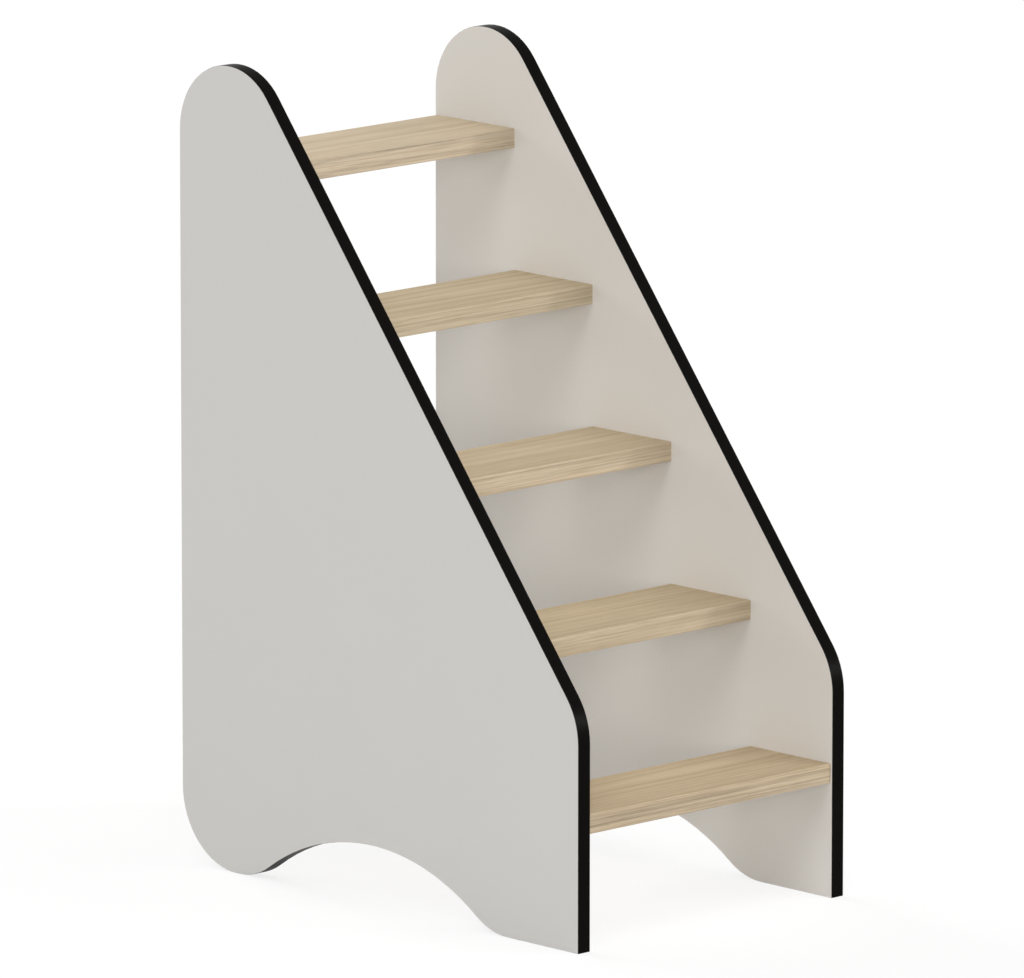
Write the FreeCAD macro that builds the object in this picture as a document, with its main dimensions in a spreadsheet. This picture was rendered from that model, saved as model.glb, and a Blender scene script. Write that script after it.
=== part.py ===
import FreeCAD, Part
import math
import os

import Sketcher

# An open-riser stair for a child: two shaped side panels carry five solid treads.
# Each panel is a dark board with a pale laminate on both faces. Each tread is held at both ends
# by two dowels and by a bolt that screws into the panel and is drawn tight by a cam lock.
# Frame: millimetres, origin on the floor under the middle of the stair, +Z up,
# lowest tread at the front (-Y), +X to the right of someone who faces the stair.

TREAD_COUNT = 5

# Driving dimensions in millimetres: name, value, meaning
SIZES = (
    ("tread_length", 370, "tread, and the clear width between the panels"),
    ("tread_depth", 125, "tread, front to back"),
    ("tread_thickness", 22, "tread board"),
    ("tread_edge_radius", 1, "rounding of the tread's long edges"),
    ("tread_run", 125, "from one tread's front edge to the next one's"),
    ("tread_rise", 160, "from one tread's top to the next one's, above the second tread"),
    ("first_tread_height", 151, "top of the lowest tread above the floor"),
    ("second_tread_height", 315, "top of the second tread above the floor"),
    ("panel_margin", 2.5, "panel edge beyond the lowest tread's front and the top tread's back"),
    ("panel_rise", 109, "top of the panels above the top tread"),
    ("core_thickness", 16.4, "dark board of a panel"),
    ("laminate_thickness", 0.8, "pale sheet on each face of a panel"),
    ("laminate_setback", 0.15, "laminate trimmed back from the board's edge"),
    ("laminate_bevel", 0.15, "trimmed arris of the laminate"),
    ("crown_radius", 79, "rounding at the top of a panel"),
    ("nose_radius", 82, "rounding where the front edge meets the slope"),
    ("front_edge_height", 228.5, "straight front edge, up from the floor"),
    ("front_foot_length", 110, "flat of the front foot on the floor"),
    ("rear_foot_length", 5, "flat of the rear foot on the floor"),
    ("rear_corner_radius", 87, "rounding at the back of the rear foot"),
    ("foot_radius", 85, "rounding between a foot and the arch"),
    ("arch_height", 67, "top of the arch above the floor"),
    ("dowel_diameter", 8, "dowel"),
    ("dowel_length", 34, "dowel"),
    ("dowel_chamfer", 0.8, "bevel at both ends of a dowel"),
    ("dowel_depth", 12, "dowel inside the panel"),
    ("dowel_spacing", 64, "between the two dowels in one end of a tread"),
    ("bolt_thread_diameter", 5, "bolt inside the panel"),
    ("bolt_thread_length", 11, "bolt inside the panel"),
    ("bolt_tip", 0.7, "bevel at the tip of a bolt"),
    ("bolt_shank_diameter", 7, "bolt inside the tread, seated on the panel"),
    ("bolt_neck_diameter", 4, "bolt where it enters the cam lock"),
    ("bolt_head_diameter", 6.5, "head that the cam lock grips"),
    ("bolt_head_length", 4.5, "head that the cam lock grips"),
    ("cam_diameter", 15, "cam lock"),
    ("cam_height", 16, "cam lock, flush with the underside of the tread"),
    ("cam_distance", 34, "axis of the cam lock from the end of the tread"),
    ("cam_play", 0.3, "between the bolt's head or neck and the cam lock"),
    ("cross_length", 8, "cross recess in the cam lock"),
    ("cross_width", 1.6, "cross recess in the cam lock"),
    ("cross_depth", 2.5, "cross recess in the cam lock"),
    ("bore_clearance", 0.1, "round a dowel, bolt or cam lock in its hole"),
    ("bore_end_gap", 1, "beyond the end of a dowel, bolt or cam lock in its hole"),
    ("overrun", 3, "by which a cut runs past the face that it opens"),
)


class Length:
    """A length worked out from named sizes: its value now, and the expression that binds it to them."""

    def __init__(self, value, text):
        self.value = value
        self.text = text

    @staticmethod
    def of(other):
        return other if isinstance(other, Length) else Length(other, str(other))

    def joined(self, sign, other, value):
        return Length(value, f"({self.text} {sign} {other.text})")

    def __add__(self, other):
        other = Length.of(other)
        return self.joined("+", other, self.value + other.value)

    def __sub__(self, other):
        other = Length.of(other)
        return self.joined("-", other, self.value - other.value)

    def __mul__(self, other):
        other = Length.of(other)
        return self.joined("*", other, self.value * other.value)

    def __truediv__(self, other):
        other = Length.of(other)
        return self.joined("/", other, self.value / other.value)

    def __neg__(self):
        return Length(-self.value, f"(-{self.text})")

    def root(self):
        return Length(math.sqrt(self.value), f"sqrt({self.text})")


NOTHING = Length(0, "0")


class Sheet:
    """The spreadsheet of driving dimensions; each alias can be read as a Length."""

    def __init__(self, doc, rows):
        self.cells = doc.addObject("Spreadsheet::Sheet", "Sizes")
        for row, (alias, value, meaning) in enumerate(rows, start=1):
            self.cells.set(f"A{row}", alias)
            self.cells.set(f"B{row}", str(value))
            self.cells.set(f"C{row}", meaning)
            self.cells.setAlias(f"B{row}", alias)
        doc.recompute()

    def __getattr__(self, alias):
        return Length(float(self.cells.get(alias)), f"Sizes.{alias}")


doc = FreeCAD.newDocument("child_stair")
size = Sheet(doc, SIZES)

# Lengths that follow from the driving dimensions
panel_thickness = size.core_thickness + size.laminate_thickness * 2
half_clear_width = size.tread_length / 2
panel_depth = size.panel_margin * 2 + size.tread_run * (TREAD_COUNT - 1) + size.tread_depth
tread_fronts = [size.panel_margin + size.tread_run * number for number in range(TREAD_COUNT)]
tread_tops = [size.first_tread_height]
tread_tops += [size.second_tread_height + size.tread_rise * number for number in range(TREAD_COUNT - 1)]
panel_height = tread_tops[-1] + size.panel_rise
dowel_places = [size.tread_depth / 2 + size.dowel_spacing * side / 2 for side in (-1, 1)]
cam_axis_x = half_clear_width - size.cam_distance
joint_height = size.tread_thickness / 2
dowel_bore = size.dowel_diameter + size.bore_clearance * 2
bolt_bore = size.bolt_shank_diameter + size.bore_clearance * 2
bolt_hole = size.bolt_thread_diameter + size.bore_clearance * 2
cam_bore = size.cam_diameter + size.bore_clearance * 2


# Sketches and features

def bind(target, path, length):
    """Binds a property of an object to the sheet."""
    target.setExpression(path, length.text)


def place(target, path, x, y, z):
    """Binds the three coordinates of a placement to the sheet."""
    for axis, length in zip("xyz", (x, y, z)):
        bind(target, f"{path}.Base.{axis}", length)


def new_body(label, x, y, z):
    body = doc.addObject("PartDesign::Body", label)
    body.Label = label
    place(body, "Placement", x, y, z)
    return body


def origin_plane(body, role):
    return next(feature for feature in body.Origin.OriginFeatures if feature.Role == role)


def new_sketch(body, name, role, right=NOTHING, up=NOTHING, out=NOTHING):
    """An empty sketch on one of the body's own planes, its origin moved within and out of that plane."""
    sketch = body.newObject("Sketcher::SketchObject", name)
    sketch.AttachmentSupport = (origin_plane(body, role), [""])
    sketch.MapMode = "FlatFace"
    place(sketch, "AttachmentOffset", right, up, out)
    return sketch


def dimension(sketch, kind, *where, length):
    """A driving constraint bound to the sheet."""
    index = sketch.addConstraint(Sketcher.Constraint(kind, *where, length.value))
    bind(sketch, f"Constraints[{index}]", length)


def fix_point(sketch, geometry, end, right, up):
    """Holds a point of the sketch at its distances from the sketch's origin."""
    for kind, axis, length in (("DistanceX", -2, right), ("DistanceY", -1, up)):
        if length is NOTHING:
            sketch.addConstraint(Sketcher.Constraint("PointOnObject", geometry, end, axis))
        else:
            dimension(sketch, kind, -1, 1, geometry, end, length=length)


def point(right, up):
    return FreeCAD.Vector(right, up, 0)


def line(sketch, start, end):
    return sketch.addGeometry(Part.LineSegment(point(*start), point(*end)))


def arc(sketch, centre, radius, start_angle, end_angle):
    circle = Part.Circle(point(*centre), FreeCAD.Vector(0, 0, 1), radius)
    return sketch.addGeometry(Part.ArcOfCircle(circle, start_angle, end_angle))


def polygon(sketch, corners):
    """A closed outline of straight lines through corners given as pairs of lengths."""
    values = [(right.value, up.value) for right, up in corners]
    sides = [line(sketch, start, end) for start, end in zip(values, values[1:] + values[:1])]
    for side, following in zip(sides, sides[1:] + sides[:1]):
        sketch.addConstraint(Sketcher.Constraint("Coincident", side, 2, following, 1))
    for side, (right, up) in zip(sides, corners):
        fix_point(sketch, side, 1, right, up)


def rectangle(sketch, right, up):
    """A rectangle from the sketch's origin."""
    polygon(sketch, [(NOTHING, NOTHING), (right, NOTHING), (right, up), (NOTHING, up)])


def circles(sketch, centres, diameter):
    """Circles of one diameter at centres given as pairs of lengths."""
    for right, up in centres:
        circle = Part.Circle(point(right.value, up.value), FreeCAD.Vector(0, 0, 1), diameter.value / 2)
        index = sketch.addGeometry(circle)
        dimension(sketch, "Diameter", index, length=diameter)
        fix_point(sketch, index, 3, right, up)


def pad(body, name, sketch, length, both_ways=False):
    feature = body.newObject("PartDesign::Pad", name)
    feature.Profile = sketch
    feature.SideType = "Symmetric" if both_ways else "One side"
    bind(feature, "Length", length)
    return feature


def pocket(body, name, sketch, length, along_normal=False):
    """A cut against the sketch's normal, or along it."""
    feature = body.newObject("PartDesign::Pocket", name)
    feature.Profile = sketch
    feature.Reversed = along_normal
    bind(feature, "Length", length)
    return feature


def mirror(body, features=()):
    """Repeats the features, or the whole body where none are named, on the other side of the middle."""
    doc.recompute()
    feature = body.newObject("PartDesign::Mirrored", body.Name + "_mirrored")
    if features:
        feature.Originals = list(features)
    else:
        feature.TransformMode = "Whole shape"
    feature.MirrorPlane = (origin_plane(body, "YZ_Plane"), [""])
    body.Tip = feature


# Side panels

def panel_outline(body, inset):
    """A panel's side view, or that view trimmed back by an inset.

    Sketch right is towards the back, from the panel's front edge, and sketch up is height.
    """
    sketch = new_sketch(body, body.Name + "_outline", "YZ_Plane")
    rear_foot_place = panel_depth - size.rear_corner_radius - size.rear_foot_length
    half_span = (rear_foot_place - size.front_foot_length) / 2
    arch_radius = (half_span * half_span / size.arch_height + size.arch_height) / 2 - size.foot_radius
    rear_edge_place = panel_depth - inset
    crown_height = panel_height - size.crown_radius

    # Present values, which the solver starts from; every curve keeps its centre when it is trimmed back
    floor = inset.value
    back = rear_edge_place.value
    foot_radius = size.foot_radius.value
    rear_radius = size.rear_corner_radius.value
    crown_radius = size.crown_radius.value
    nose_radius = size.nose_radius.value
    front_foot = (size.front_foot_length.value, foot_radius)
    rear_foot = (rear_foot_place.value, foot_radius)
    arch = (front_foot[0] + half_span.value, size.arch_height.value - arch_radius.value)
    foot_angle = math.atan2(foot_radius - arch[1], half_span.value)
    rear_corner = (panel_depth.value - rear_radius, rear_radius)
    crown = (panel_depth.value - crown_radius, crown_height.value)
    nose = (nose_radius, size.front_edge_height.value)
    rise = crown[1] - nose[1]
    run = crown[0] - nose[0]
    lean = math.atan2(rise, run) + math.acos((nose_radius - crown_radius) / math.hypot(rise, run))
    outward = (math.cos(lean), math.sin(lean))
    slope_top = [at + (crown_radius - floor) * part for at, part in zip(crown, outward)]
    slope_foot = [at + (nose_radius - floor) * part for at, part in zip(nose, outward)]
    down = -math.pi / 2

    front_floor = line(sketch, (floor, floor), (front_foot[0], floor))
    front_round = arc(sketch, front_foot, foot_radius - floor, down, -foot_angle)
    arch_curve = arc(sketch, arch, arch_radius.value + floor, foot_angle, math.pi - foot_angle)
    rear_round = arc(sketch, rear_foot, foot_radius - floor, foot_angle - math.pi, down)
    rear_floor = line(sketch, (rear_foot[0], floor), (rear_corner[0], floor))
    rear_curve = arc(sketch, rear_corner, rear_radius - floor, down, 0)
    rear_edge = line(sketch, (back, rear_corner[1]), (back, crown[1]))
    crown_curve = arc(sketch, crown, crown_radius - floor, 0, lean)
    slope = line(sketch, slope_top, slope_foot)
    nose_curve = arc(sketch, nose, nose_radius - floor, lean, math.pi)
    front_edge = line(sketch, (floor, nose[1]), (floor, floor))

    smooth_joints = (
        (front_floor, 2, front_round, 1),
        (front_round, 2, arch_curve, 2),
        (arch_curve, 1, rear_round, 1),
        (rear_round, 2, rear_floor, 1),
        (rear_floor, 2, rear_curve, 1),
        (rear_curve, 2, rear_edge, 1),
        (rear_edge, 2, crown_curve, 1),
        (crown_curve, 2, slope, 1),
        (slope, 2, nose_curve, 1),
        (nose_curve, 2, front_edge, 1),
    )
    for joint in smooth_joints:
        sketch.addConstraint(Sketcher.Constraint("Tangent", *joint))
    sketch.addConstraint(Sketcher.Constraint("Coincident", front_edge, 2, front_floor, 1))
    for flat in (front_floor, rear_floor):
        sketch.addConstraint(Sketcher.Constraint("Horizontal", flat))
    for upright in (front_edge, rear_edge):
        sketch.addConstraint(Sketcher.Constraint("Vertical", upright))

    fix_point(sketch, front_floor, 1, inset, inset)
    fix_point(sketch, rear_floor, 1, rear_foot_place, inset)
    dimension(sketch, "DistanceX", -1, 1, front_floor, 2, length=size.front_foot_length)
    dimension(sketch, "DistanceX", -1, 1, rear_edge, 1, length=rear_edge_place)
    dimension(sketch, "DistanceY", -1, 1, crown_curve, 3, length=crown_height)
    dimension(sketch, "DistanceY", -1, 1, nose_curve, 3, length=size.front_edge_height)
    dimension(sketch, "Radius", front_round, length=size.foot_radius - inset)
    dimension(sketch, "Radius", rear_round, length=size.foot_radius - inset)
    dimension(sketch, "Radius", arch_curve, length=arch_radius + inset)
    dimension(sketch, "Radius", rear_curve, length=size.rear_corner_radius - inset)
    dimension(sketch, "Radius", crown_curve, length=size.crown_radius - inset)
    dimension(sketch, "Radius", nose_curve, length=size.nose_radius - inset)
    return sketch


def panel_sheet(label, thickness, x, inset):
    """One layer of a panel, from x towards +X."""
    body = new_body(label, x, -panel_depth / 2, NOTHING)
    return body, pad(body, label + "_pad", panel_outline(body, inset), thickness)


def drill_panel(body, face, hole_depths, along_normal):
    """The holes of one layer for the dowels and the bolts, from the face towards the tread."""
    joints = [(front, top - joint_height) for front, top in zip(tread_fronts, tread_tops)]
    dowels = [(front + across, height) for front, height in joints for across in dowel_places]
    bolts = [(front + size.tread_depth / 2, height) for front, height in joints]
    kinds = (("dowel", dowels, dowel_bore), ("bolt", bolts, bolt_hole))
    for (kind, centres, diameter), depth in zip(kinds, hole_depths):
        sketch = new_sketch(body, f"{body.Name}_{kind}_holes", "YZ_Plane", out=face)
        circles(sketch, centres, diameter)
        pocket(body, f"{body.Name}_{kind}_pocket", sketch, depth, along_normal)


def bevel(body, base, face):
    """Trims the outer arris of a laminate, on the face at that distance from the body's origin."""
    doc.recompute()
    rim = []
    for index, edge in enumerate(base.Shape.Edges, start=1):
        if all(abs(vertex.X - face.value) < Part.Precision.approximation() for vertex in edge.Vertexes):
            rim.append(f"Edge{index}")
    feature = body.newObject("PartDesign::Chamfer", body.Name + "_bevel")
    feature.Base = (base, rim)
    bind(feature, "Size", size.laminate_bevel)


def core(side, x, face, along_normal):
    body, _ = panel_sheet(f"{side}_core", size.core_thickness, x, NOTHING)
    depths = [
        length + size.bore_end_gap - size.laminate_thickness
        for length in (size.dowel_depth, size.bolt_thread_length)
    ]
    drill_panel(body, face, depths, along_normal)
    return body


def inner_laminate(side, x, face, along_normal):
    body, sheet = panel_sheet(f"{side}_inner_laminate", size.laminate_thickness, x, size.laminate_setback)
    bevel(body, sheet, face)
    through = size.laminate_thickness + size.overrun
    drill_panel(body, face, (through, through), along_normal)
    return body


def outer_laminate(side, x, face):
    body, sheet = panel_sheet(f"{side}_outer_laminate", size.laminate_thickness, x, size.laminate_setback)
    bevel(body, sheet, face)
    return body


def left_panel():
    inner_face = -half_clear_width
    return [
        outer_laminate("left", inner_face - panel_thickness, NOTHING),
        core("left", inner_face - panel_thickness + size.laminate_thickness, size.core_thickness, False),
        inner_laminate("left", inner_face - size.laminate_thickness, size.laminate_thickness, False),
    ]


def right_panel():
    inner_face = half_clear_width
    outer_sheet = inner_face + panel_thickness - size.laminate_thickness
    return [
        inner_laminate("right", inner_face, NOTHING, True),
        core("right", inner_face + size.laminate_thickness, NOTHING, True),
        outer_laminate("right", outer_sheet, size.laminate_thickness),
    ]


# Treads and what holds them; a tread's own origin is at the bottom of its front, in the middle

def tread_section(body):
    """A tread's end view, with its four corners rounded."""
    sketch = new_sketch(body, body.Name + "_section", "YZ_Plane")
    depth = size.tread_depth.value
    thick = size.tread_thickness.value
    radius = size.tread_edge_radius.value
    quarter = math.pi / 2
    bottom = line(sketch, (radius, 0), (depth - radius, 0))
    low_back = arc(sketch, (depth - radius, radius), radius, -quarter, 0)
    back = line(sketch, (depth, radius), (depth, thick - radius))
    high_back = arc(sketch, (depth - radius, thick - radius), radius, 0, quarter)
    top = line(sketch, (depth - radius, thick), (radius, thick))
    high_front = arc(sketch, (radius, thick - radius), radius, quarter, math.pi)
    front = line(sketch, (0, thick - radius), (0, radius))
    low_front = arc(sketch, (radius, radius), radius, math.pi, math.pi + quarter)
    loop = (bottom, low_back, back, high_back, top, high_front, front, low_front)
    for piece, following in zip(loop, loop[1:] + loop[:1]):
        sketch.addConstraint(Sketcher.Constraint("Tangent", piece, 2, following, 1))
    for flat in (bottom, top):
        sketch.addConstraint(Sketcher.Constraint("Horizontal", flat))
    for upright in (back, front):
        sketch.addConstraint(Sketcher.Constraint("Vertical", upright))
    sketch.addConstraint(Sketcher.Constraint("PointOnObject", bottom, 1, -1))
    sketch.addConstraint(Sketcher.Constraint("PointOnObject", front, 1, -2))
    dimension(sketch, "DistanceX", -1, 1, back, 1, length=size.tread_depth)
    dimension(sketch, "DistanceY", -1, 1, top, 1, length=size.tread_thickness)
    for corner in (low_back, high_back, high_front, low_front):
        dimension(sketch, "Radius", corner, length=size.tread_edge_radius)
    return sketch


def tread_body(number, ending=""):
    """A body at the place of a tread, for the tread itself or for something that goes into it."""
    front = tread_fronts[number] - panel_depth / 2
    underside = tread_tops[number] - size.tread_thickness
    return new_body(f"tread_{number + 1}{ending}", NOTHING, front, underside)


def tread(number):
    body = tread_body(number)
    name = body.Name
    pad(body, name + "_pad", tread_section(body), size.tread_length, both_ways=True)

    dowel_sketch = new_sketch(body, name + "_dowel_bores", "YZ_Plane", out=half_clear_width)
    circles(dowel_sketch, [(across, joint_height) for across in dowel_places], dowel_bore)
    dowel_room = size.dowel_length - size.dowel_depth + size.bore_end_gap
    dowel_pocket = pocket(body, name + "_dowel_pocket", dowel_sketch, dowel_room)

    bolt_sketch = new_sketch(body, name + "_bolt_bore", "YZ_Plane", out=half_clear_width)
    circles(bolt_sketch, [(size.tread_depth / 2, joint_height)], bolt_bore)
    bolt_pocket = pocket(body, name + "_bolt_pocket", bolt_sketch, size.cam_distance)

    cam_sketch = new_sketch(body, name + "_cam_bore", "XY_Plane")
    circles(cam_sketch, [(cam_axis_x, size.tread_depth / 2)], cam_bore)
    cam_room = size.cam_height + size.bore_end_gap
    cam_pocket = pocket(body, name + "_cam_pocket", cam_sketch, cam_room, along_normal=True)

    mirror(body, (dowel_pocket, bolt_pocket, cam_pocket))
    return body


def turned(body, name, right, back, up, corners):
    """A solid turned about a line along X, from half of its section."""
    sketch = new_sketch(body, name + "_section", "XZ_Plane", right, up, -back)
    polygon(sketch, corners)
    feature = body.newObject("PartDesign::Revolution", name)
    feature.Profile = sketch
    feature.ReferenceAxis = (sketch, ["H_Axis"])
    feature.Angle = 360


def dowels(number):
    body = tread_body(number, "_dowels")
    inner_end = half_clear_width + size.dowel_depth - size.dowel_length
    radius = size.dowel_diameter / 2
    chamfer = size.dowel_chamfer
    corners = [
        (NOTHING, NOTHING),
        (NOTHING, radius - chamfer),
        (chamfer, radius),
        (size.dowel_length - chamfer, radius),
        (size.dowel_length, radius - chamfer),
        (size.dowel_length, NOTHING),
    ]
    for place_name, across in zip(("front", "back"), dowel_places):
        turned(body, f"{body.Name}_{place_name}", inner_end, across, joint_height, corners)
    mirror(body)
    return body


def cam_bolts(number):
    body = tread_body(number, "_cam_bolts")
    head_radius = size.bolt_head_diameter / 2
    neck_radius = size.bolt_neck_diameter / 2
    shank_radius = size.bolt_shank_diameter / 2
    thread_radius = size.bolt_thread_diameter / 2
    head_half = size.bolt_head_length / 2
    neck_end = head_half + cam_bore / 2 + size.cam_play
    seat = head_half + size.cam_distance
    tip = seat + size.bolt_thread_length
    corners = [
        (NOTHING, NOTHING),
        (NOTHING, head_radius),
        (size.bolt_head_length, head_radius),
        (size.bolt_head_length, neck_radius),
        (neck_end, neck_radius),
        (neck_end, shank_radius),
        (seat, shank_radius),
        (seat, thread_radius),
        (tip - size.bolt_tip, thread_radius),
        (tip, thread_radius - size.bolt_tip),
        (tip, NOTHING),
    ]
    turned(body, body.Name + "_bolt", cam_axis_x - head_half, size.tread_depth / 2, joint_height, corners)
    mirror(body)
    return body


def cam_locks(number):
    body = tread_body(number, "_cam_locks")
    name = body.Name
    middle = size.tread_depth / 2
    play = size.cam_play * 2
    head_diagonal = (
        size.bolt_head_length * size.bolt_head_length + size.bolt_head_diameter * size.bolt_head_diameter
    ).root()
    chamber_diameter = head_diagonal + play
    chamber_height = size.bolt_head_diameter + play * 2
    chamber_floor = joint_height - chamber_height / 2
    slot_height = size.bolt_neck_diameter + play
    slot_start = chamber_diameter / 4
    slot_reach = size.cam_diameter / 2 + size.overrun

    drum = new_sketch(body, name + "_drum", "XY_Plane", cam_axis_x, middle)
    circles(drum, [(NOTHING, NOTHING)], size.cam_diameter)
    pad(body, name + "_pad", drum, size.cam_height)

    chamber = new_sketch(body, name + "_chamber", "XY_Plane", cam_axis_x, middle, chamber_floor)
    circles(chamber, [(NOTHING, NOTHING)], chamber_diameter)
    pocket(body, name + "_chamber_pocket", chamber, chamber_height, along_normal=True)

    # The slot lets the bolt's neck through while the cam lock turns half round it
    slot = new_sketch(body, name + "_slot", "XZ_Plane", cam_axis_x, joint_height - slot_height / 2, -middle)
    polygon(slot, [
        (slot_start, NOTHING),
        (slot_reach, NOTHING),
        (slot_reach, slot_height),
        (slot_start, slot_height),
    ])
    groove = body.newObject("PartDesign::Groove", name + "_slot_groove")
    groove.Profile = slot
    groove.ReferenceAxis = (slot, ["V_Axis"])
    groove.Angle = 180
    groove.Midplane = True

    # The head goes in through a round mouth at one end of the slot
    mouth = new_sketch(body, name + "_mouth", "XZ_Plane", cam_axis_x, joint_height, -middle)
    circles(mouth, [(NOTHING, NOTHING)], size.bolt_head_diameter + play)
    pocket(body, name + "_mouth_pocket", mouth, slot_reach, along_normal=True)

    for arm, (length, width) in enumerate((
        (size.cross_length, size.cross_width),
        (size.cross_width, size.cross_length),
    )):
        left = cam_axis_x - length / 2
        front = middle - width / 2
        recess = new_sketch(body, f"{name}_cross_{arm}", "XY_Plane", left, front)
        rectangle(recess, length, width)
        pocket(body, f"{name}_cross_pocket_{arm}", recess, size.cross_depth, along_normal=True)

    mirror(body)
    return body


def check(bodies):
    """Stops if anything failed, if a cut took nothing away, or if a shape is not sound."""
    for item in doc.Objects:
        if "Invalid" in item.State or "Error" in item.State:
            raise RuntimeError(f"{item.Label} failed: {item.getStatusString()}")
        if item.isDerivedFrom("PartDesign::Pocket") or item.isDerivedFrom("PartDesign::Groove"):
            if item.Shape.Volume >= item.BaseFeature.Shape.Volume:
                raise RuntimeError(f"{item.Label} cuts nothing")
    for body in bodies:
        if body.Shape.isNull() or not body.Shape.isValid():
            raise RuntimeError(f"{body.Label} has no sound shape")


bodies = left_panel() + right_panel()
for number in range(TREAD_COUNT):
    bodies += [tread(number), dowels(number), cam_bolts(number), cam_locks(number)]
doc.recompute()
check(bodies)

os.makedirs("parts", exist_ok=True)
for body in bodies:
    body.Shape.exportStep(f"parts/{body.Label}.step")
    box = body.Shape.BoundBox
    print(f"{body.Label}: {len(body.Shape.Solids)} solids, {body.Shape.Volume:.1f} mm3,",
          f"x {box.XMin:.2f} {box.XMax:.2f}, y {box.YMin:.2f} {box.YMax:.2f},",
          f"z {box.ZMin:.2f} {box.ZMax:.2f}")
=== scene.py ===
import math

import bpy
from mathutils import Matrix, Vector

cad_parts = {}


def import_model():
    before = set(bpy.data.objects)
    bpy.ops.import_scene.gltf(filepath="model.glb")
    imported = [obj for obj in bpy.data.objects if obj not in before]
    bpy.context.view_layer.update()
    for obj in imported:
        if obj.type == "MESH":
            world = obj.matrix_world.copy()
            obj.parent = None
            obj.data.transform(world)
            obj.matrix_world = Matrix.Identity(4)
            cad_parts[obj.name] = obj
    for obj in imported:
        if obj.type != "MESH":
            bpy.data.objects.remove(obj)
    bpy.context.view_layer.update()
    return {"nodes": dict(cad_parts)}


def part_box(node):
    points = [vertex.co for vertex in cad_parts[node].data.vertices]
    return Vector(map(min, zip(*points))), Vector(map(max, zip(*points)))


# The looks of a child's open-riser stair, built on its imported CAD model. Lengths are metres.
# Frame: origin on the floor under the middle of the stair, +Z up, lowest tread at the front (-Y).

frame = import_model()
nodes = frame["nodes"]

TREADS = range(1, 6)

# Camera, fitted to the photograph's edges
CAMERA_AZIMUTH = math.radians(-43.892)
CAMERA_ELEVATION = math.radians(11.242)
CAMERA_ROLL = math.radians(0.025)
CAMERA_TARGET = Vector((0.0021, 0.0011, 0.4377))
CAMERA_DISTANCE = 14.5725
CAMERA_LENS_MM = 466.3
SENSOR_WIDTH_MM = 36

# Light
AMBIENT_LEVEL = 0.33
BACKGROUND_WHITE = 1.0
FLOOR_BOUNCE_ALBEDO = 0.70
FLOOR_SHADOW_ALBEDO = 0.2
FLOOR_LIFT = 0.8
FLOOR_SIZE = 80
# Soft lamps: where each one stands, in degrees to the right of the front and above the floor,
# how strong it is and how many degrees wide
LAMPS = {
    "key": {"azimuth": -40, "elevation": 11, "strength": 1.0, "width": 25},
    "low_right": {"azimuth": 22, "elevation": 12, "strength": 0.52, "width": 28},
    "right": {"azimuth": 45, "elevation": 16, "strength": 0.95, "width": 10},
    "high_right": {"azimuth": 35, "elevation": 70, "strength": 0.36, "width": 25},
    "high_left": {"azimuth": -60, "elevation": 52, "strength": 0.71, "width": 30},
    "back_right": {"azimuth": 95, "elevation": 8, "strength": 0.78, "width": 50},
    "back": {"azimuth": 180, "elevation": 25, "strength": 1.75, "width": 30},
    "back_left": {"azimuth": -150, "elevation": 12, "strength": 0.24, "width": 25},
}

# Below, colours are linear. A cell is the size of a pattern along X, Y and Z, a relief is how deep
# its bumps are, and a roughness has its lowest and highest level.

# The panels' laminate
OUTER_GREY = (0.640, 0.627, 0.599)
# The inner faces' grey is the same laminate painted lighter and warmer: painted bounce light from the
# oak treads.
INNER_GREY_PAINTED_BOUNCE = (0.711, 0.684, 0.643)
CLOUD_CELL = (0.16, 0.16, 0.16)
SPECK_CELL = (0.0016, 0.0016, 0.0016)
PEARL_CELL = (0.0007, 0.0007, 0.0007)
PEARL_RELIEF = 0.00004
LAMINATE_ROUGHNESS = (0.46, 0.58)
LAMINATE_SPECULAR = 0.15

# The panels' board
CORE_BLACK = (0.0028, 0.0025, 0.0022)
CORE_FIBRE = (0.00616, 0.0055, 0.00484)
CORE_FIBRE_CELL = (0.0006, 0.0022, 0.0022)
CUTTER_LINE_CELL = (0.0009, 0.09, 0.09)
CORE_RELIEF = 0.00004
CORE_ROUGHNESS = (0.28, 0.38)
CORE_SPECULAR = 0.013

# The treads' oak, with its cells along the log, across it and up. The logs are set apart along X, so
# that no two treads have the same grain. The rings are uneven over a cell along the radius, and are
# shifted there by up to so many rings.
OAK_LIGHT = (0.55, 0.455, 0.32)
OAK_MIDDLE = (0.47, 0.375, 0.25)
OAK_DARK = (0.30, 0.222, 0.132)
LOG_SPACING = 1.7
SWAY_CELL = (0.35, 0.06, 0.06)
SWAY_REACH = 0.006
RING_WIDTH = 0.0036
UNEVEN_RING_CELL = 0.009
UNEVEN_RING_SHIFT = 2.4
FIBRE_CELL = (0.07, 0.0014, 0.0014)
BAND_CELL = (0.6, 0.012, 0.012)
PORE_CELL = (0.026, 0.0009, 0.0009)
PORE_STRENGTH = 0.65
OAK_RELIEF = 0.00012
OAK_ROUGHNESS = (0.64, 0.8)
OAK_SPECULAR = 0.2

# The treads' long edges: streaked, a little cooler than the tops, and with a painted highlight along
# the top arris
STREAK_CELL = (0.4, 0.1, 0.0036)
EDGE_TINT = (0.985, 1.0, 1.05)
ARRIS_HIGHLIGHT_WIDTH = 0.0025
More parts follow.
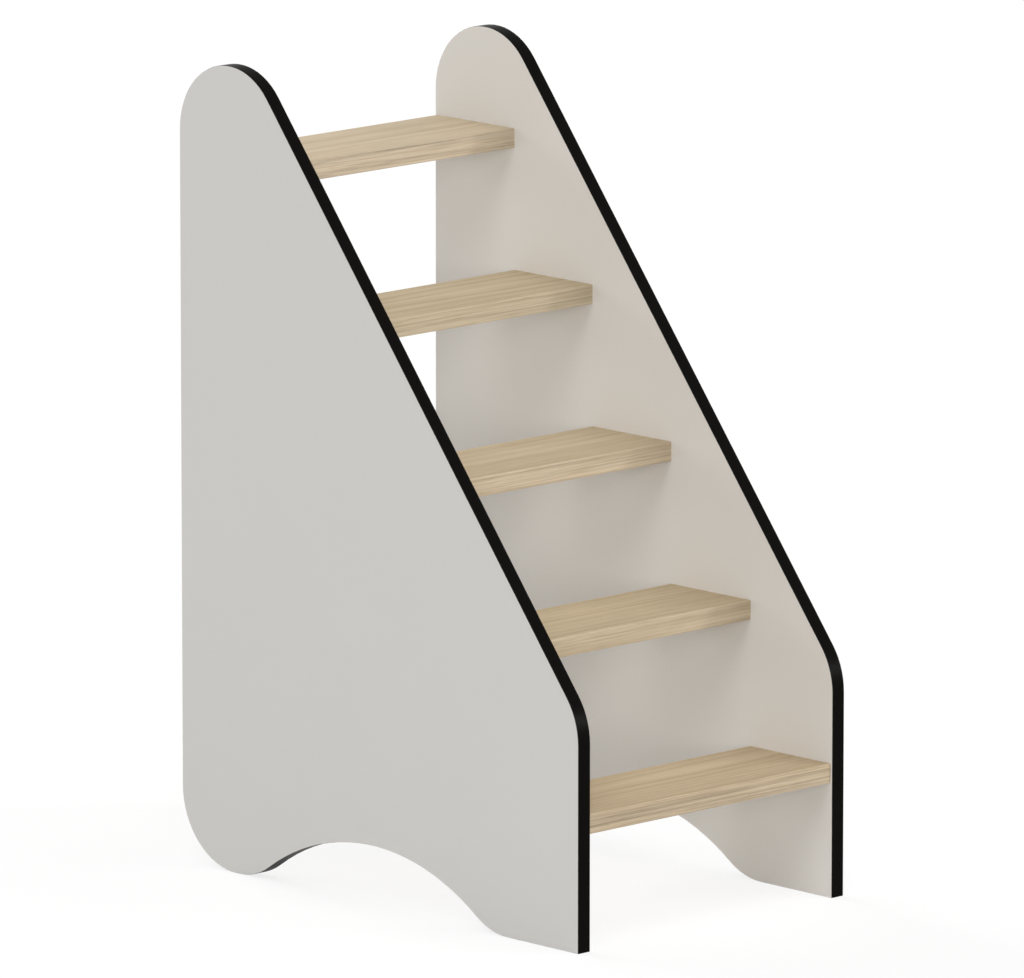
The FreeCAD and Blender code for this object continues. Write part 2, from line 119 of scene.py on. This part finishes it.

# How each tread was sawn from its log: the pith's place behind and below the tread's middle, the
# log's lean in plan and in elevation in degrees, how strong its late wood is, how dark and how light
# the streaks get on its long edges, how much lighter its top arris is painted as a highlight, and its
# tone
TREAD_CUTS = (
    {"behind": 0.030, "below": 0.120, "plan": 0.25, "elevation": 0.10, "late": 0.5,
     "streaks": (0.0, 1.76), "arris_highlight_gain": 0.26, "tone": (0.987, 0.96, 0.916)},
    {"behind": -0.042, "below": 0.135, "plan": -0.3, "elevation": 0.16, "late": 0.55,
     "streaks": (0.64, 1.24), "arris_highlight_gain": 0.10, "tone": (0.974, 0.962, 0.921)},
    {"behind": 0.052, "below": 0.112, "plan": 0.2, "elevation": -0.2, "late": 0.26,
     "streaks": (0.34, 1.66), "arris_highlight_gain": 0.12, "tone": (0.984, 0.973, 0.955)},
    {"behind": -0.025, "below": 0.128, "plan": -0.2, "elevation": -0.12, "late": 0.6,
     "streaks": (0.32, 1.62), "arris_highlight_gain": 0.10, "tone": (0.983, 0.989, 0.967)},
    {"behind": 0.044, "below": 0.142, "plan": 0.35, "elevation": 0.2, "late": 0.2,
     "streaks": (0.0, 1.82), "arris_highlight_gain": 0.0, "tone": (1.04, 1.045, 1.059)},
)

# The joinery: beech dowels, plated steel bolts and cast zinc cam locks
BEECH = (0.55, 0.37, 0.21)
BEECH_FLECK = (0.38, 0.23, 0.12)
BEECH_FIBRE_CELL = (0.02, 0.0012, 0.0012)
BEECH_FLECK_CELL = (0.002, 0.0004, 0.0004)
BEECH_RELIEF = 0.00008
BEECH_ROUGHNESS = (0.55, 0.75)
STEEL = (0.62, 0.63, 0.65)
STEEL_DULL = (0.55, 0.54, 0.5)
STEEL_PATCH_CELL = (0.004, 0.004, 0.004)
TURNED_LINE_CELL = (0.0003, 0.006, 0.006)
STEEL_RELIEF = 0.00002
STEEL_ROUGHNESS = (0.24, 0.42)
ZINC = (0.48, 0.48, 0.49)
ZINC_DULL = (0.38, 0.38, 0.4)
ZINC_PATCH_CELL = (0.005, 0.005, 0.005)
CAST_GRAIN_CELL = (0.0006, 0.0006, 0.0006)
ZINC_RELIEF = 0.00005
ZINC_ROUGHNESS = (0.38, 0.6)

# Stops of a ramp that noise crosses softly, from all of one colour to all of another
SOFT_PATCHES = ((0.3, 0.0), (0.7, 1.0))


class Finish:
    """A material with one Principled shader, and short calls for the nodes that feed it."""

    def __init__(self, name):
        self.material = bpy.data.materials.new(name)
        self.material.use_nodes = True
        self.tree = self.material.node_tree
        self.shader = next(node for node in self.tree.nodes if node.type == "BSDF_PRINCIPLED")

    def feed(self, socket, value):
        """Links a socket to another node's output, or sets it to a plain value."""
        if isinstance(value, bpy.types.NodeSocket):
            self.tree.links.new(value, socket)
        else:
            socket.default_value = value

    def set(self, **inputs):
        """Feeds the shader's inputs, named with underscores for spaces."""
        for name, value in inputs.items():
            self.feed(self.shader.inputs[name.replace("_", " ")], value)

    def add(self, kind, *values, **settings):
        """A node of that kind with its settings, its inputs fed in order (None leaves one as it is)."""
        node = self.tree.nodes.new("ShaderNode" + kind)
        for name, value in settings.items():
            setattr(node, name, value)
        for socket, value in zip(node.inputs, values):
            if value is not None:
                self.feed(socket, value)
        return node

    def place(self):
        """Coordinates in the stair's own frame."""
        return self.add("TexCoord").outputs["Object"]

    def facing(self, axis):
        """How squarely the surface faces along an axis, either way, from 0 to 1."""
        direction_parts = self.add("SeparateXYZ", self.add("TexCoord").outputs["Normal"])
        return self.math("ABSOLUTE", direction_parts.outputs[axis])

    def turned(self, vector, location, rotation):
        """Coordinates about another origin, with their axes turned."""
        return self.add("Mapping", vector, location, rotation, vector_type="TEXTURE").outputs[0]

    def noise(self, vector, detail, roughness=0.5, colour=False):
        """Noise with one cell per unit of its coordinates."""
        node = self.add("TexNoise")
        self.feed(node.inputs["Vector"], vector)
        self.feed(node.inputs["Scale"], 1.0)
        self.feed(node.inputs["Detail"], detail)
        self.feed(node.inputs["Roughness"], roughness)
        return node.outputs["Color" if colour else "Fac"]

    def pattern(self, vector, cell, detail, **settings):
        """Noise with cells of that size."""
        scale = tuple(1 / length for length in cell)
        stretched = self.add("Mapping", vector, None, None, scale, vector_type="POINT").outputs[0]
        return self.noise(stretched, detail, **settings)

    def series(self, value, detail):
        """Noise that depends on one value alone."""
        return self.noise(self.add("CombineXYZ", value).outputs[0], detail)

    def math(self, operation, first, second=None):
        """A sum on one or two values."""
        return self.add("Math", first, second, operation=operation).outputs[0]

    def vector_math(self, operation, first, second=None):
        """A sum on one or two vectors."""
        node = self.add("VectorMath", first, second, operation=operation)
        return node.outputs["Value" if operation == "LENGTH" else "Vector"]

    def scaled(self, vector, factor):
        """A vector made longer or shorter."""
        node = self.add("VectorMath", vector, operation="SCALE")
        self.feed(node.inputs["Scale"], factor)
        return node.outputs["Vector"]

    def spread(self, value, low, high, start=0.0, end=1.0):
        """Turns a value from start to end into one from low to high."""
        return self.add("MapRange", value, start, end, low, high).outputs[0]

    def ramp(self, value, *stops):
        """A grey level by stops of (place, level)."""
        node = self.add("ValToRGB", value)
        elements = node.color_ramp.elements
        while len(elements) < len(stops):
            elements.new(1)
        for element, (at, level) in zip(elements, stops):
            element.position = at
            element.color = (level, level, level, 1)
        return node.outputs["Color"]

    def blend(self, share, first, second, mode="MIX"):
        """Mixes two colours by a share from 0 to 1."""
        node = self.add("Mix", data_type="RGBA", blend_type=mode)
        sockets = [socket for socket in node.inputs if socket.enabled]
        for socket, value in zip(sockets, (share, first, second)):
            if isinstance(value, tuple):
                value = (*value, 1)
            self.feed(socket, value)
        return next(socket for socket in node.outputs if socket.enabled)

    def tinted(self, colour, tint):
        """A colour multiplied by another, or by a level."""
        return self.blend(1.0, colour, tint, mode="MULTIPLY")

    def bump(self, height, relief):
        """Bumps as deep as the relief where height is 1."""
        node = self.add("Bump")
        self.feed(node.inputs["Strength"], 1.0)
        self.feed(node.inputs["Distance"], relief)
        self.feed(node.inputs["Height"], height)
        self.set(Normal=node.outputs["Normal"])

    def dress(self, *names):
        """Puts the material on CAD nodes."""
        for name in names:
            nodes[name].material_slots[0].material = self.material


# Panels

def laminate(face, grey):
    """Matt pale grey laminate with a fine pearl texture, dark where its edge is cut."""
    finish = Finish(f"panel_laminate_{face}")
    place = finish.place()
    flat = finish.ramp(finish.facing("X"), (0.8, 0.0), (0.95, 1.0))
    cloud = finish.pattern(place, CLOUD_CELL, detail=3)
    speck = finish.pattern(place, SPECK_CELL, detail=2)
    pearl = finish.pattern(place, PEARL_CELL, detail=3)
    cloud_shade = finish.ramp(cloud, (0.3, 0.985), (0.7, 1.0))
    speck_shade = finish.ramp(speck, (0.35, 0.975), (0.65, 1.0))
    colour = finish.tinted(grey, finish.blend(0.5, cloud_shade, speck_shade))
    finish.set(
        Base_Color=finish.blend(flat, CORE_BLACK, colour),
        Roughness=finish.spread(speck, *LAMINATE_ROUGHNESS),
        Specular_IOR_Level=LAMINATE_SPECULAR,
    )
    finish.bump(pearl, PEARL_RELIEF)
    finish.dress(f"left_{face}_laminate", f"right_{face}_laminate")


def core():
    """Black through-dyed board: cut fibres, and the cutter's faint lines along the edge."""
    finish = Finish("panel_core_black")
    place = finish.place()
    fibres = finish.pattern(place, CORE_FIBRE_CELL, detail=3, roughness=0.6)
    lines = finish.pattern(place, CUTTER_LINE_CELL, detail=2)
    finish.set(
        Base_Color=finish.blend(finish.ramp(fibres, (0.45, 0.0), (0.75, 1.0)), CORE_BLACK, CORE_FIBRE),
        Roughness=finish.spread(lines, *CORE_ROUGHNESS),
        Specular_IOR_Level=CORE_SPECULAR,
    )
    finish.bump(finish.math("ADD", finish.math("MULTIPLY", fibres, 0.5), lines), CORE_RELIEF)
    finish.dress("left_core", "right_core")


# Treads

def growth_rings(finish, log):
    """How far through its year a point grew, from 0 to 1, and a level of its own for each year."""
    sway = finish.pattern(log, SWAY_CELL, detail=2, colour=True)
    sway = finish.scaled(finish.vector_math("SUBTRACT", sway, (0.5, 0.5, 0.5)), SWAY_REACH)
    swayed = finish.vector_math("ADD", log, sway)
    radius = finish.vector_math("LENGTH", finish.vector_math("MULTIPLY", swayed, (0, 1, 1)))
    uneven = finish.series(finish.math("DIVIDE", radius, UNEVEN_RING_CELL), detail=1)
    shift = finish.math("MULTIPLY", uneven, UNEVEN_RING_SHIFT)
    years = finish.math("ADD", finish.math("DIVIDE", radius, RING_WIDTH), shift)
    return finish.math("FRACT", years), finish.series(finish.math("FLOOR", years), detail=0)


def oak(number, cut):
    """Pale lacquered oak: rings about the log's pith, long fibres, short pores and streaked edges."""
    finish = Finish(f"tread_oak_{number}")
    low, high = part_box(f"tread_{number}")
    middle = (low + high) / 2
    pith = (number * LOG_SPACING, middle.y + cut["behind"], middle.z - cut["below"])
    lean = (0, math.radians(cut["elevation"]), math.radians(cut["plan"]))
    place = finish.place()
    log = finish.turned(place, pith, lean)

    ring, year = growth_rings(finish, log)
    late_wood = finish.ramp(ring, (0.0, 0.3), (0.12, 0.0), (0.55, 0.1), (0.88, 0.9), (1.0, 0.3))
    late_wood = finish.math("MULTIPLY", late_wood, finish.ramp(year, (0.3, 0.35), (0.7, 1.0)))
    fibres = finish.pattern(log, FIBRE_CELL, detail=4, roughness=0.6)
    bands = finish.pattern(log, BAND_CELL, detail=2)
    pores = finish.ramp(finish.pattern(log, PORE_CELL, detail=1), (0.60, 0.0), (0.70, 1.0))
    pores = finish.math("MULTIPLY", pores, finish.ramp(ring, (0.0, 1.0), (0.3, 0.15), (1.0, 0.3)))
    colour = finish.blend(finish.ramp(bands, *SOFT_PATCHES), OAK_MIDDLE, OAK_LIGHT)
    colour = finish.blend(finish.math("MULTIPLY", late_wood, cut["late"]), colour, OAK_DARK)
    colour = finish.blend(finish.ramp(fibres, (0.46, 0.0), (0.75, 0.45)), colour, OAK_DARK)
    colour = finish.blend(finish.math("MULTIPLY", pores, PORE_STRENGTH), colour, OAK_DARK)

    streaks = finish.pattern(log, STREAK_CELL, detail=4, roughness=0.85)
    height = finish.add("SeparateXYZ", place).outputs["Z"]
    # Painted highlight: the top few millimetres of the long edges are lightened where the rounded arris
    # catches the light.
    painted_arris_highlight = finish.spread(height, 1.0, 1 + cut["arris_highlight_gain"], start=high.z - ARRIS_HIGHLIGHT_WIDTH, end=high.z)
    edge_level = finish.math("MULTIPLY", finish.spread(streaks, *cut["streaks"]), painted_arris_highlight)
    edge_colour = finish.tinted(finish.tinted(colour, edge_level), EDGE_TINT)
    long_edge = finish.ramp(finish.facing("Y"), (0.5, 0.0), (0.8, 1.0))
    finish.set(
        Base_Color=finish.tinted(finish.blend(long_edge, colour, edge_colour), cut["tone"]),
        Roughness=finish.spread(fibres, *OAK_ROUGHNESS),
        Specular_IOR_Level=OAK_SPECULAR,
    )
    raised_fibres = finish.math("MULTIPLY", fibres, 0.6)
    sunk_pores = finish.math("MULTIPLY", pores, 0.8)
    finish.bump(finish.math("SUBTRACT", raised_fibres, sunk_pores), OAK_RELIEF)
    finish.dress(f"tread_{number}")


# Joinery

def beech():
    """Plain beech with short dark flecks."""
    finish = Finish("dowel_beech_turned")
    place = finish.place()
    fibres = finish.pattern(place, BEECH_FIBRE_CELL, detail=3)
    flecks = finish.pattern(place, BEECH_FLECK_CELL, detail=1)
    colour = finish.blend(finish.ramp(fibres, (0.35, 0.0), (0.7, 0.6)), BEECH, BEECH_FLECK)
    colour = finish.blend(finish.ramp(flecks, (0.6, 0.0), (0.7, 0.7)), colour, BEECH_FLECK)
    finish.set(Base_Color=colour, Roughness=finish.spread(fibres, *BEECH_ROUGHNESS))
    finish.bump(fibres, BEECH_RELIEF)
    finish.dress(*(f"tread_{number}_dowels" for number in TREADS))


def steel():
    """Plated steel with dull patches and fine turned lines."""
    finish = Finish("bolt_steel_plated")
    place = finish.place()
    patches = finish.pattern(place, STEEL_PATCH_CELL, detail=3)
    lines = finish.pattern(place, TURNED_LINE_CELL, detail=2)
    finish.set(
        Base_Color=finish.blend(finish.ramp(patches, *SOFT_PATCHES), STEEL, STEEL_DULL),
        Roughness=finish.spread(lines, *STEEL_ROUGHNESS),
        Metallic=1.0,
    )
    finish.bump(lines, STEEL_RELIEF)
    finish.dress(*(f"tread_{number}_cam_bolts" for number in TREADS))


def zinc():
    """Cast zinc with dull patches and a fine grain."""
    finish = Finish("cam_zinc_cast")
    place = finish.place()
    grains = finish.pattern(place, CAST_GRAIN_CELL, detail=3)
    patches = finish.pattern(place, ZINC_PATCH_CELL, detail=3)
    finish.set(
        Base_Color=finish.blend(finish.ramp(patches, *SOFT_PATCHES), ZINC, ZINC_DULL),
        Roughness=finish.spread(grains, *ZINC_ROUGHNESS),
        Metallic=1.0,
    )
    finish.bump(grains, ZINC_RELIEF)
    finish.dress(*(f"tread_{number}_cam_locks" for number in TREADS))


# Studio

def seen_directly(tree):
    """1 for camera, glossy and transmission rays, 0 for the light that bounces about."""
    path = tree.nodes.new("ShaderNodeLightPath")
    seen = path.outputs["Is Camera Ray"]
    for kind in ("Is Glossy Ray", "Is Transmission Ray"):
        either = tree.nodes.new("ShaderNodeMath")
        either.operation = "MAXIMUM"
        tree.links.new(seen, either.inputs[0])
        tree.links.new(path.outputs[kind], either.inputs[1])
        seen = either.outputs[0]
    return seen


def world():
    """Even white surroundings: plain white where they are seen, and the ambient level as light."""
    surroundings = bpy.data.worlds.new("studio")
    bpy.context.scene.world = surroundings
    surroundings.use_nodes = True
    tree = surroundings.node_tree
    background = next(node for node in tree.nodes if node.type == "BACKGROUND")
    background.inputs["Color"].default_value = (1, 1, 1, 1)
    level = tree.nodes.new("ShaderNodeMapRange")
    level.inputs["To Min"].default_value = AMBIENT_LEVEL
    level.inputs["To Max"].default_value = BACKGROUND_WHITE
    tree.links.new(seen_directly(tree), level.inputs["Value"])
    tree.links.new(level.outputs["Result"], background.inputs["Strength"])


def floor():
    """A white floor that keeps the stair's shadow and is open to a view from below."""
    mesh = bpy.data.meshes.new("floor")
    half = FLOOR_SIZE / 2
    corners = [(-half, -half, 0), (half, -half, 0), (half, half, 0), (-half, half, 0)]
    mesh.from_pydata(corners, [], [(0, 1, 2, 3)])
    plane = bpy.data.objects.new("floor", mesh)
    bpy.context.scene.collection.objects.link(plane)

    material = bpy.data.materials.new("floor_white")
    material.use_nodes = True
    mesh.materials.append(material)
    tree = material.node_tree
    tree.nodes.clear()

    def shader(kind, level=None):
        node = tree.nodes.new("ShaderNode" + kind)
        if level is not None:
            node.inputs["Color"].default_value = (level, level, level, 1)
        return node.outputs[0]

    def mixed(kind, *inputs):
        node = tree.nodes.new("ShaderNode" + kind)
        for socket, value in zip(node.inputs, inputs):
            tree.links.new(value, socket)
        return node.outputs[0]

    shadowed = shader("BsdfDiffuse", FLOOR_SHADOW_ALBEDO)
    white = mixed("AddShader", shadowed, shader("Emission", FLOOR_LIFT))
    bounce = shader("BsdfDiffuse", FLOOR_BOUNCE_ALBEDO)
    surface = mixed("MixShader", seen_directly(tree), bounce, white)
    from_below = tree.nodes.new("ShaderNodeNewGeometry").outputs["Backfacing"]
    surface = mixed("MixShader", from_below, surface, shader("BsdfTransparent"))
    output = tree.nodes.new("ShaderNodeOutputMaterial")
    tree.links.new(surface, output.inputs["Surface"])


def direction(azimuth, elevation):
    """Points from the stair to the right of its front by the azimuth and up by the elevation."""
    return Vector((
        math.sin(azimuth) * math.cos(elevation),
        -math.cos(azimuth) * math.cos(elevation),
        math.sin(elevation),
    ))


def soft_lamp(name, azimuth, elevation, strength, width):
    """A far lamp that looks as many degrees across, from the stair, as its width."""
    lamp = bpy.data.lights.new(name, "SUN")
    lamp.energy = strength
    lamp.angle = math.radians(width)
    holder = bpy.data.objects.new(name, lamp)
    holder.rotation_mode = "QUATERNION"
    toward = direction(math.radians(azimuth), math.radians(elevation))
    holder.rotation_quaternion = toward.to_track_quat("Z", "Y")
    bpy.context.scene.collection.objects.link(holder)


def camera():
    """The photograph's point of view."""
    back = direction(CAMERA_AZIMUTH, CAMERA_ELEVATION)
    level = Vector((math.cos(CAMERA_AZIMUTH), math.sin(CAMERA_AZIMUTH), 0))
    upright = back.cross(level)
    right = level * math.cos(CAMERA_ROLL) + upright * math.sin(CAMERA_ROLL)
    up = upright * math.cos(CAMERA_ROLL) - level * math.sin(CAMERA_ROLL)
    lens = bpy.data.cameras.new("camera")
    lens.lens = CAMERA_LENS_MM
    lens.sensor_width = SENSOR_WIDTH_MM
    lens.clip_end = 2 * CAMERA_DISTANCE + FLOOR_SIZE
    holder = bpy.data.objects.new("camera", lens)
    turn = Matrix((right, up, back)).transposed()
    holder.matrix_world = Matrix.Translation(CAMERA_TARGET + back * CAMERA_DISTANCE) @ turn.to_4x4()
    bpy.context.scene.collection.objects.link(holder)
    bpy.context.scene.camera = holder


laminate("outer", OUTER_GREY)
# The inner faces take the lighter, warmer grey that carries painted bounce light.
laminate("inner", INNER_GREY_PAINTED_BOUNCE)
core()
for number, cut in zip(TREADS, TREAD_CUTS):
    oak(number, cut)
beech()
steel()
zinc()

world()
floor()
for name, lamp in LAMPS.items():
    soft_lamp(name, **lamp)
camera()
bpy.context.scene.view_settings.view_transform = "Standard"
